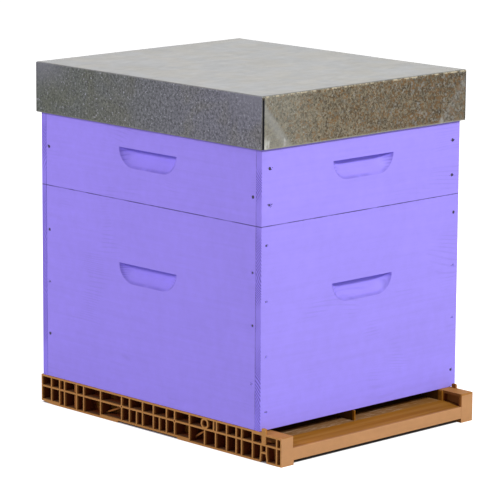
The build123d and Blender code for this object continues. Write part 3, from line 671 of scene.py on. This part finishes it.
def zinc_side(finish, y, z, off_y, fine, speckle):
    """Dark speckled side, darker and olive to the rear, lighter and bluish to the front as a painted light
    gradient, smoother near its upper corners.
    """
    # painted light: the side grows lighter from the rear to the front
    side = finish.mix(finish.step(y, BOX_BACK, BOX_FRONT), SIDE_REAR, SIDE_FRONT)
    side = finish.tinted(side, finish.step(fine, 0.30, 0.70), 0.36, 1.64)
    side = finish.tinted(side, finish.noise(45.0, 3.0, 0.6), 0.72, 1.28)
    olive = finish.step(finish.noise(11.0, 3.0, 0.6, None, 0.6), 0.46, 0.66, 0.0, 0.55)
    side = finish.mix(olive, side, finish.mix(1.0, side, SIDE_OLIVE, "MULTIPLY"))
    side = finish.mix(finish.step(speckle, 0.63, 0.70), side, SIDE_SPANGLE)
    near_end = finish.step(off_y, ROOF_HALF_Y - 110 * MM, ROOF_HALF_Y - 10 * MM)
    near_top = finish.step(z, ROOF_LOW.z + 25 * MM, ROOF_HIGH.z)
    smooth_zone = finish.times(finish.times(near_end, near_top), 0.6)
    return finish.mix(smooth_zone, side, SIDE_SMOOTH)


def rusty_zinc(finish, x, over_ear, fine, speckle):
    """Olive zinc under rust specks: in clumps to the right, hazy to the left, fewer over the ears."""
    to_right = (x, -ROOF_HALF_X, ROOF_HALF_X)
    zinc = finish.tinted(ZINC_END, finish.step(fine, 0.30, 0.70), 0.44, 1.56)
    cluster = finish.noise(34.0, 3.0, 0.6)
    spot_edge = finish.math("MULTIPLY_ADD", over_ear, 0.06, finish.step(*to_right, 0.60, 0.56))
    spot_edge = finish.math("MULTIPLY_ADD", cluster, -0.14, finish.plus(spot_edge, 0.01))
    spots = finish.minus(finish.noise(260.0, 3.0, 0.66), spot_edge)
    rust = finish.mix(finish.step(finish.noise(85.0, 2.0, 0.6), 0.40, 0.62), RUST_DARK, RUST)
    end = finish.mix(finish.step(spots, -0.035, 0.045), zinc, rust)
    end = finish.mix(finish.step(speckle, 0.60, 0.70, 0.0, 0.8), end, RUST_DARK)
    end = finish.mix(finish.step(speckle, 0.37, 0.29, 0.0, 0.7), end, ZINC_PALE)

    clump = finish.noise(130.0, 2.0, 0.6)
    clumped = finish.step(x, -0.3 * ROOF_HALF_X, 0.7 * ROOF_HALF_X)
    end = finish.mix(finish.times(clumped, finish.step(clump, 0.54, 0.64, 0.0, 0.6)), end, RUST)
    end = finish.mix(finish.times(clumped, finish.step(clump, 0.44, 0.34, 0.0, 0.45)), end, ZINC_PALE)

    end = finish.tinted(end, finish.noise(20.0, 2.0, 0.5), 0.85, 1.15)
    end = finish.tinted(end, finish.step(*to_right), 1.06, 0.79)
    haze = finish.step(x, -ROOF_HALF_X + 150 * MM, -ROOF_HALF_X + 30 * MM, 0.0, 0.22)
    return finish.mix(haze, end, ZINC_HAZE)


def zinc_end(finish, x, z, off_x, fine, speckle):
    """Rusty end with pale marks where the ears lie behind it, and a painted highlight along the bend below
    the top.
    """
    ear_line = finish.math("MULTIPLY_ADD", finish.minus(z, ROOF_LOW.z), EAR_LEAN, ROOF_HALF_X - EAR_LENGTH)
    from_ear = finish.minus(off_x, ear_line)
    ear_share = finish.step(x, -ROOF_HALF_X, ROOF_HALF_X, 1.0, 0.32)
    over_ear = finish.times(finish.step(from_ear, -6 * MM, 5 * MM), ear_share)
    ear_edge = finish.times(over_ear, finish.step(from_ear, 24 * MM, 8 * MM))
    end = rusty_zinc(finish, x, over_ear, fine, speckle)
    end = finish.mix(finish.times(over_ear, 0.22), end, OVER_EAR)
    end = finish.mix(finish.times(ear_edge, 0.34), end, EAR_LINE)
    rubbed = finish.step(finish.noise(75.0, 2.0, 0.5, finish.scaled(1.0, 1.0, 0.5)), 0.52, 0.64)
    low_ear = finish.times(over_ear, finish.step(z, ROOF_LOW.z + 22 * MM, ROOF_LOW.z + 5 * MM))
    end = finish.mix(finish.times(finish.times(rubbed, low_ear), 0.85), end, LOW_SCUFF)

    # painted highlight along the bend below the top
    bend = finish.step(z, ROOF_HIGH.z - 4.2 * MM, ROOF_HIGH.z - 2.6 * MM)
    patchy = finish.step(finish.noise(110.0, 3.0, 0.6), 0.46, 0.58, 0.0, 0.9)
    return finish.mix(finish.times(bend, patchy), end, BEND_HIGHLIGHT)


def galvanised_roof():
    """Weathered galvanised sheet: pale on top, partly as a painted reflection of the bright backdrop, dark
    spangle on the sides, rust specks on the ends.
    """
    finish = Finish("galvanised_roof", Specular_IOR_Level=0.3)
    x, y, z = finish.axes()
    off_x, off_y = off_middle(finish, x, y)
    fine = finish.noise(240.0, 4.0, 0.75)
    speckle = finish.noise(300.0, 2.0, 0.6)
    top = zinc_top(finish, off_x, off_y)
    side = zinc_side(finish, y, z, off_y, fine, speckle)
    end = zinc_end(finish, x, z, off_x, fine, speckle)

    # pale hem, and painted shade on the sheet seen through the slits
    hem = finish.step(z, ROOF_LOW.z + 2.2 * MM, ROOF_LOW.z + 1.4 * MM)
    side = finish.mix(finish.times(hem, 0.4), side, SIDE_HEM)
    end = finish.mix(finish.times(hem, 0.6), end, END_HEM)
    behind = finish.step(finish.minus(ROOF_HALF_Y, off_y), 1.7 * MM, 1.9 * MM)
    # painted shade through the slits
    end = finish.mix(behind, end, SLIT_SHADE)

    sideways, endways, upright = (finish.math("ABSOLUTE", part) for part in finish.facing())
    facing_up = finish.step(upright, 0.45, 0.80)
    skirt = finish.mix(finish.step(endways, 0.45, 0.75), side, end)
    skirt = finish.mix(finish.step(sideways, 0.45, 0.75), skirt, side)
    # the top paler than the skirts, partly a painted reflection of the bright backdrop
    finish.colour(finish.mix(facing_up, skirt, top))
    finish.feed(finish.shader.inputs["Metallic"], finish.step(facing_up, 0.0, 1.0, 0.2, 0.05))
    gloss = finish.step(fine, 0.0, 1.0, 0.5, 0.68)
    finish.feed(finish.shader.inputs["Roughness"], finish.math("MULTIPLY_ADD", facing_up, 0.22, gloss))
    finish.relief(finish.math("MULTIPLY_ADD", fine, 0.4, speckle), 0.05 * MM, 0.25)
    return finish.material


def bright_zinc():
    finish = Finish("bright_zinc", Metallic=1.0)
    streak = finish.noise(1.0, 3.0, 0.6, finish.scaled(*grain("X", 20.0, 400.0)))
    finish.colour(finish.tinted(BRIGHT_ZINC, streak, 0.85, 1.1))
    finish.rough(streak, 0.28, 0.5)
    return finish.material


def nail_steel(name, bare_radius, end_nails, side_nails):
    """Oxidised nail heads that the paint covers from their rims in to about bare_radius."""
    finish = Finish(name, Metallic=0.4)
    flake = finish.noise(420.0, 2.0, 0.6)
    by_nail = finish.noise(24.0, 0.0)
    x, y, z = finish.axes()
    off_x, off_y = off_middle(finish, x, y)
    from_axis = []
    for across, half, nails in ((off_x, BOX_RIGHT, end_nails), (off_y, HALF_DEPTH, side_nails)):
        rows, inset = nails[:2]
        off_nail = finish.minus(across, half - inset)
        from_axis.append(finish.distance(off_nail, nearest_row(finish, y, z, rows)))
    radius = finish.math("MULTIPLY_ADD", flake, 1.4 * MM, finish.math("MINIMUM", *from_axis))
    bare = finish.step(by_nail, 0.3, 0.7, 0.5 * bare_radius, 1.5 * bare_radius)
    past_bare = finish.minus(radius, finish.plus(bare, 0.7 * MM))
    painted = finish.step(past_bare, -0.3 * MM, 0.3 * MM, 0.0, 0.95)
    steel = finish.tinted(NAIL_OXIDE, flake, 0.5, 1.6)
    finish.colour(finish.mix(painted, steel, VIOLET))
    finish.rough(flake, 0.5, 0.75)
    finish.relief(flake, 0.1 * MM, 0.5)
    return finish.material


# Modelling helpers


def leave_edit_mode():
    if bpy.context.object and bpy.context.object.mode != "OBJECT":
        bpy.ops.object.mode_set(mode="OBJECT")


def only(piece):
    """Selects just this piece and makes it the active one."""
    leave_edit_mode()
    bpy.ops.object.select_all(action="DESELECT")
    piece.select_set(True)
    bpy.context.view_layer.objects.active = piece


def pick(piece, kind, test):
    """Selects a mesh's vertices, edges or faces by the places of their corners, ready for edit mode."""
    leave_edit_mode()
    points = piece.data.vertices
    for group in (points, piece.data.edges, piece.data.polygons):
        for element in group:
            element.select = False
    if kind == "VERT":
        for point in points:
            point.select = test([point.co])
    else:
        for element in piece.data.edges if kind == "EDGE" else piece.data.polygons:
            element.select = test([points[i].co for i in element.vertices])
    bpy.ops.object.mode_set(mode="EDIT")
    bpy.ops.mesh.select_mode(type=kind)


def cut_across(axis, place):
    """Cuts the whole mesh with a plane square to an axis."""
    normal = [0.0, 0.0, 0.0]
    normal["XYZ".index(axis)] = 1.0
    point = [0.0, 0.0, 0.0]
    point["XYZ".index(axis)] = place
    bpy.ops.mesh.select_all(action="SELECT")
    bpy.ops.mesh.bisect(plane_co=point, plane_no=normal)


def extrude(*way):
    bpy.ops.mesh.extrude_region_move(TRANSFORM_OT_translate={"value": way})


def apply_modifier(piece, name, kind, **settings):
    modifier = piece.modifiers.new(name, kind)
    for attribute, value in settings.items():
        setattr(modifier, attribute, value)
    only(piece)
    bpy.ops.object.modifier_apply(modifier=modifier.name)


def finished(piece, body, slot, material, *stands_for):
    """Hands a new piece over: material, body and the CAD nodes that it stands for. The slot is not used."""
    piece.data.materials.clear()
    piece.data.materials.append(material)
    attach(piece, body)
    if stands_for:
        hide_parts(*stands_for)
    return piece


def eased(node, material, width=0.5 * MM):
    """A merged copy of a CAD node with its edges rounded over, which stands for the node."""
    mesh = NODES[node].data.copy()
    piece = bpy.data.objects.new(node + "_eased", mesh)
    bpy.context.scene.collection.objects.link(piece)
    only(piece)
    bpy.ops.mesh.customdata_custom_splitnormals_clear()
    bpy.ops.object.mode_set(mode="EDIT")
    bpy.ops.mesh.select_all(action="SELECT")
    bpy.ops.mesh.remove_doubles(threshold=0.005 * MM)
    bpy.ops.mesh.dissolve_limited(angle_limit=math.radians(0.5))
    bpy.ops.object.mode_set(mode="OBJECT")
    apply_modifier(
        piece, "eased edges", "BEVEL",
        width=width, segments=2, limit_method="ANGLE", angle_limit=math.radians(35),
    )
    bpy.ops.object.shade_smooth_by_angle(angle=math.radians(30))
    apply_modifier(piece, "flat faces", "WEIGHTED_NORMAL", keep_sharp=True, weight=100)
    return finished(piece, BODY_OF[node], SLOT_OF[node], material, node)


def keep(node, material):
    """A CAD node that stays, in its finish."""
    slots = NODES[node].data.materials
    slots.clear()
    slots.append(material)


# Roof


def bent_sheet():
    """The roof's box, open below, with its top edges bent over."""
    leave_edit_mode()
    bpy.ops.object.select_all(action="DESELECT")
    bpy.ops.mesh.primitive_cube_add(size=1.0)
    piece = bpy.context.object
    piece.name = "folded_roof"
    bpy.ops.object.mode_set(mode="EDIT")
    bpy.ops.transform.resize(value=ROOF_HIGH - ROOF_LOW)
    bpy.ops.transform.translate(value=ROOF_MID)
    pick(piece, "FACE", lambda corners: all(c.z < ROOF_MID.z for c in corners))
    bpy.ops.mesh.delete(type="FACE")
    pick(piece, "EDGE", lambda corners: all(c.z > ROOF_MID.z for c in corners))
    bpy.ops.mesh.bevel(offset=ROOF_BEND, segments=4, profile=0.5, affect="EDGES")
    return piece


def cut_slits(piece):
    """A slit in the end skirt beside each corner, wide at the front left one."""
    for x in (-EAR_FOLD, -EAR_FOLD + SLIT, -EAR_FOLD + WIDE_SLIT, EAR_FOLD - SLIT, EAR_FOLD):
        cut_across("X", x)
    cut_across("Z", SLIT_TOP)

    def in_slit(corners):
        on_end = all(min(c.y - ROOF_LOW.y, ROOF_HIGH.y - c.y) < NEAR for c in corners)
        x = sum(c.x for c in corners) / len(corners)
        width = WIDE_SLIT if x < 0 and corners[0].y < ROOF_MID.y else SLIT
        beside_fold = EAR_FOLD - width < abs(x) < EAR_FOLD
        return on_end and beside_fold and all(c.z < SLIT_TOP + NEAR for c in corners)

    pick(piece, "FACE", in_slit)
    bpy.ops.mesh.delete(type="FACE")


def fold_ear(piece, end, inward, way):
    """An ear from the corner's edge, behind the end skirt and slanting up to the corner."""
    def on_edge(corners):
        return all(
            abs(c.x - way * EAR_FOLD) < NEAR and abs(c.y - end) < NEAR and c.z < SLIT_TOP + NEAR
            for c in corners
        )

    def on_upper_tip(corners):
        tip = corners[0]
        at_tip = abs(tip.x - way * (EAR_FOLD - EAR_LENGTH)) < NEAR
        behind_skirt = abs(tip.y - end - inward * EAR_STEP) < NEAR
        return at_tip and behind_skirt and tip.z > ROOF_MID.z

    pick(piece, "EDGE", on_edge)
    extrude(0, inward * EAR_STEP, 0)
    extrude(-way * EAR_LENGTH, 0, 0)
    pick(piece, "VERT", on_upper_tip)
    bpy.ops.transform.translate(value=(way * (EAR_LENGTH - EAR_TIP), 0, 0))


def make_wavy(piece):
    """Small faces all over the sheet, then a slight waviness."""
    for axis, low, high, count in zip("XYZ", ROOF_LOW, ROOF_HIGH, RIPPLE_CUTS):
        for i in range(1, count):
            cut_across(axis, low + (high - low) * i / count)
    leave_edit_mode()
    ripple = bpy.data.textures.new("roof_ripple", "CLOUDS")
    ripple.noise_scale = RIPPLE_WAVE
    apply_modifier(
        piece, "ripple", "DISPLACE",
        texture=ripple, texture_coords="LOCAL", strength=RIPPLE, mid_level=1.0, direction="NORMAL",
    )


def folded_roof():
    """One sheet: flat top, skirts bent down, ears folded behind the end skirts, a slit at each corner."""
    piece = bent_sheet()
    cut_slits(piece)
    for end, inward in ((ROOF_LOW.y, 1), (ROOF_HIGH.y, -1)):
        for way in (-1, 1):
            fold_ear(piece, end, inward, way)
    make_wavy(piece)
    apply_modifier(piece, "sheet", "SOLIDIFY", thickness=SHEET, offset=-1.0)
    bpy.ops.object.shade_smooth_by_angle(angle=math.radians(35))
    return finished(piece, "roof", "roof_zinc", galvanised_roof(), "roof_sheet")


# Wax


def whole_cell(corners):
    wide = max(c.y for c in corners) - min(c.y for c in corners)
    tall = max(c.z for c in corners) - min(c.z for c in corners)
    return len(corners) == 6 and wide > 0.99 * HEX and tall > 1.98 * HEX_SIDE


def embossed_wax(node, material):
    """A sheet of foundation: hexagons with pointed floors pressed into both faces."""
    low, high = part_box(node)
    first = Vector((low.x, math.floor(low.y / HEX) * HEX, math.floor(low.z / HEX_ROWS) * HEX_ROWS))
    across = math.ceil((high.y - first.y) / HEX) + 1
    up = math.ceil((high.z - first.z) / HEX_ROWS) + 1

    # one hexagon, repeated over the face and trimmed to it
    leave_edit_mode()
    bpy.ops.object.select_all(action="DESELECT")
    turned = (math.radians(90), 0, math.radians(90))
    bpy.ops.mesh.primitive_circle_add(vertices=6, radius=HEX_SIDE, fill_type="NGON", rotation=turned)
    bpy.ops.object.transform_apply(location=True, rotation=True, scale=True)
    piece = bpy.context.object
    piece.name = node + "_embossed"
    bpy.ops.object.mode_set(mode="EDIT")
    bpy.ops.transform.translate(value=first)
    leave_edit_mode()
    for name, count, step in (
        ("next row", 2, (0, HEX / 2, HEX_ROWS / 2)),
        ("along the sheet", across, (0, HEX, 0)),
        ("up the sheet", up, (0, 0, HEX_ROWS)),
    ):
        apply_modifier(
            piece, name, "ARRAY",
            count=count, use_relative_offset=False, use_constant_offset=True, constant_offset_displace=step,
        )
    bpy.ops.object.mode_set(mode="EDIT")
    bpy.ops.mesh.select_all(action="SELECT")
    bpy.ops.mesh.remove_doubles(threshold=0.02 * MM)
    for normal in ((0, 1, 0), (0, 0, 1)):
        bpy.ops.mesh.select_all(action="SELECT")
        bpy.ops.mesh.bisect(plane_co=low, plane_no=normal, clear_inner=True)
        bpy.ops.mesh.select_all(action="SELECT")
        bpy.ops.mesh.bisect(plane_co=high, plane_no=normal, clear_outer=True)

    # the sheet's thickness, then a cell pressed into every whole hexagon
    bpy.ops.mesh.select_all(action="SELECT")
    extrude(high.x - low.x, 0, 0)
    bpy.ops.mesh.select_all(action="SELECT")
    bpy.ops.mesh.normals_make_consistent(inside=False)
    pick(piece, "FACE", whole_cell)
    bpy.ops.mesh.inset(thickness=CELL_SLOPE, depth=-CELL_DEPTH, use_individual=True)
    bpy.ops.mesh.poke(offset=-CELL_POINT)
    leave_edit_mode()
    return finished(piece, BODY_OF[node], SLOT_OF[node], material, node)


# Dress every node


def dress_boxes():
    zinc = bright_zinc()
    wax = beeswax("beeswax", False)
    pressed_wax = beeswax("pressed_beeswax", True)
    long_pine = bare_pine("bar_pine", grain("Y"))
    upright_pine = bare_pine("side_bar_pine", grain("Z"))
    for box in ("brood", "super"):
        end_top, side_top = GRIP_TOPS[box]
        ends = violet_boards(box + "_violet_ends", "X", end_top, END_NAILS[box])
        sides = violet_boards(box + "_violet_sides", "Y", side_top, SIDE_NAILS[box])
        steel = nail_steel(box + "_nail_steel", BARE_HEAD[box], END_NAILS[box], SIDE_NAILS[box])
        for place, paint in (("front", ends), ("back", ends), ("left", sides), ("right", sides)):
            keep(f"{box}_{place}_board", paint)
        keep(box + "_nails", steel)
        keep(box + "_runner_tacks", zinc)
        for end in ("front", "back"):
            keep(f"{box}_{end}_runner", zinc)
        for set_name, plural in ((box, "s"), (box + "_lift_frame", "")):
            eased(f"{set_name}_top_bar{plural}", long_pine)
            eased(f"{set_name}_bottom_bar{plural}", long_pine)
            eased(f"{set_name}_side_bar{plural}", upright_pine)
        keep(box + "_wax_sheets", wax)
        embossed_wax(box + "_lift_frame_wax_sheet", pressed_wax)


def dress_floor():
    rail = rail_plastic()
    plain = floor_plastic()
    for node in ("floor_left_rail", "floor_right_rail"):
        eased(node, rail, 0.45 * MM)
    eased("landing_board", sill_plastic(), 0.45 * MM)
    eased("rear_crossbar", plain, 0.45 * MM)
    keep("vent_grid", plain)
    eased("inspection_tray", pale_plastic())


def dress_cover():
    crown = bare_pine("crown_pine", grain("Y", 6.0, 150.0))
    eased("crown_panel", crown, 0.6 * MM)
    eased("crown_long_battens", crown, 0.6 * MM)
    eased("crown_cross_battens", bare_pine("batten_pine", grain("X", 6.0, 150.0)), 0.6 * MM)
    eased("feed_plug", bare_pine("plug_pine", grain("Y", 10.0, 120.0), 0.9), 0.4 * MM)
    keep("roof_lining", fibre_board())
    folded_roof()


# Studio


AIM = Vector((0.0, BOX_MID_Y, BROOD_Z + 0.240))
CAMERA_DISTANCE = 4.871
CAMERA_AZIMUTH = math.radians(-43.902)
CAMERA_ELEVATION = math.radians(10.868)
CAMERA_PAN = math.radians(-43.928)
CAMERA_TILT = math.radians(11.203)
CAMERA_ROLL = math.radians(0.351)
PICTURE_SIDE = 500
FOCAL_PIXELS = 3083.0
SENSOR = 36.0
LAMP_DISTANCE = 3.2
LEFT_LAMP_TINT = (0.96, 0.88, 1.04)
AMBIENT = 0.34
AMBIENT_TINT = (0.97, 0.98, 1.0, 1.0)
WHITE = (1.0, 1.0, 1.0, 1.0)
FLOOR_GREY = (0.62, 0.62, 0.62, 1.0)
FLOOR_SIDE = 40.0
FLOOR_GLOW = 0.88
GLOW_EDGE = 2 * MM
GLOW_UNDER_SILL = 8 * MM


def bearing(azimuth, elevation):
    """Unit vector towards a point at that azimuth from -Y and elevation above the horizon."""
    flat = math.cos(elevation)
    return Vector((math.sin(azimuth) * flat, -math.cos(azimuth) * flat, math.sin(elevation)))


def set_camera():
    data = bpy.data.cameras.new("photo_view")
    data.sensor_width = SENSOR
    data.lens = FOCAL_PIXELS * SENSOR / PICTURE_SIDE
    data.clip_end = 100.0
    camera = bpy.data.objects.new("photo_view", data)
    bpy.context.scene.collection.objects.link(camera)
    back = bearing(CAMERA_PAN, CAMERA_TILT)
    right = Vector((math.cos(CAMERA_PAN), math.sin(CAMERA_PAN), 0.0))
    up = back.cross(right)
    turned_right = math.cos(CAMERA_ROLL) * right + math.sin(CAMERA_ROLL) * up
    turned_up = math.cos(CAMERA_ROLL) * up - math.sin(CAMERA_ROLL) * right
    place = Matrix((turned_right, turned_up, back)).transposed().to_4x4()
    place.translation = AIM + CAMERA_DISTANCE * bearing(CAMERA_AZIMUTH, CAMERA_ELEVATION)
    camera.matrix_world = place
    bpy.context.scene.camera = camera


def math_node(tree, operation, a, b=0.0):
    node = tree.nodes.new("ShaderNodeMath")
    node.operation = operation
    for socket, value in zip(node.inputs, (a, b)):
        if isinstance(value, bpy.types.NodeSocket):
            tree.links.new(value, socket)
        else:
            socket.default_value = value
    return node.outputs[0]


def seen_directly(tree):
    """1 for rays that show the background: from the camera, off gloss or through glass."""
    path = tree.nodes.new("ShaderNodeLightPath")
    total = path.outputs["Is Camera Ray"]
    for name in ("Is Glossy Ray", "Is Transmission Ray"):
        total = math_node(tree, "MAXIMUM", total, path.outputs[name])
    return total


def outside_footprint(tree):
    """The floor's glow, which stops where the hive stands so that the gaps under it stay dark."""
    split = tree.nodes.new("ShaderNodeSeparateXYZ")
    tree.links.new(tree.nodes.new("ShaderNodeTexCoord").outputs["Object"], split.inputs[0])
    dark_front = FLOOR_FRONT + GLOW_UNDER_SILL
    gaps = []
    for axis, low, high in (("X", FLOOR_LEFT, FLOOR_RIGHT), ("Y", dark_front, FLOOR_BACK)):
        off = math_node(tree, "ABSOLUTE", math_node(tree, "SUBTRACT", split.outputs[axis], (low + high) / 2))
        gaps.append(math_node(tree, "SUBTRACT", off, (high - low) / 2))
    rise = tree.nodes.new("ShaderNodeMapRange")
    tree.links.new(math_node(tree, "MAXIMUM", *gaps), rise.inputs["Value"])
    for name, value in (("From Min", -GLOW_EDGE), ("From Max", GLOW_EDGE), ("To Max", FLOOR_GLOW)):
        rise.inputs[name].default_value = value
    return rise.outputs["Result"]


def set_world():
    world = bpy.data.worlds.new("studio")
    bpy.context.scene.world = world
    world.use_nodes = True
    tree = world.node_tree
    lit = tree.nodes["Background"]
    lit.inputs["Color"].default_value = AMBIENT_TINT
    lit.inputs["Strength"].default_value = AMBIENT
    white = tree.nodes.new("ShaderNodeBackground")
    white.inputs["Color"].default_value = WHITE
    mix = tree.nodes.new("ShaderNodeMixShader")
    tree.links.new(seen_directly(tree), mix.inputs[0])
    tree.links.new(lit.outputs[0], mix.inputs[1])
    tree.links.new(white.outputs[0], mix.inputs[2])
    tree.links.new(mix.outputs[0], tree.nodes["World Output"].inputs["Surface"])


def set_floor():
    """Pale floor that reads as white and still takes the shadow."""
    bpy.ops.object.select_all(action="DESELECT")
    bpy.ops.mesh.primitive_plane_add(size=FLOOR_SIDE)
    floor = bpy.context.object
    floor.name = "studio_floor"
    material = bpy.data.materials.new("studio_floor")
    material.use_nodes = True
    tree = material.node_tree
    shader = tree.nodes["Principled BSDF"]
    shader.inputs["Base Color"].default_value = FLOOR_GREY
    shader.inputs["Roughness"].default_value = 0.9
    shader.inputs["Specular IOR Level"].default_value = 0.0
    shader.inputs["Emission Color"].default_value = WHITE
    glow = math_node(tree, "MULTIPLY", seen_directly(tree), outside_footprint(tree))
    tree.links.new(glow, shader.inputs["Emission Strength"])
    floor.data.materials.append(material)


def soft_box(name, azimuth, elevation, side, power, tint=WHITE[:3]):
    data = bpy.data.lights.new(name, "AREA")
    data.shape = "SQUARE"
    data.size = side
    data.energy = power
    data.color = tint
    lamp = bpy.data.objects.new(name, data)
    bpy.context.scene.collection.objects.link(lamp)
    way = bearing(math.radians(azimuth), math.radians(elevation))
    lamp.location = AIM + way * LAMP_DISTANCE
    lamp.rotation_mode = "QUATERNION"
    lamp.rotation_quaternion = way.to_track_quat("Z", "Y")


def set_lights():
    soft_box("front_soft_box", azimuth=4.0, elevation=34.0, side=0.4, power=66.5)
    soft_box("left_soft_box", azimuth=-110.0, elevation=28.0, side=0.7, power=43.0, tint=LEFT_LAMP_TINT)
    soft_box("back_soft_box", azimuth=138.0, elevation=25.0, side=0.9, power=26.0)


dress_boxes()
dress_floor()
dress_cover()
set_camera()
set_world()
set_floor()
set_lights()
bpy.context.scene.view_settings.view_transform = "Standard"
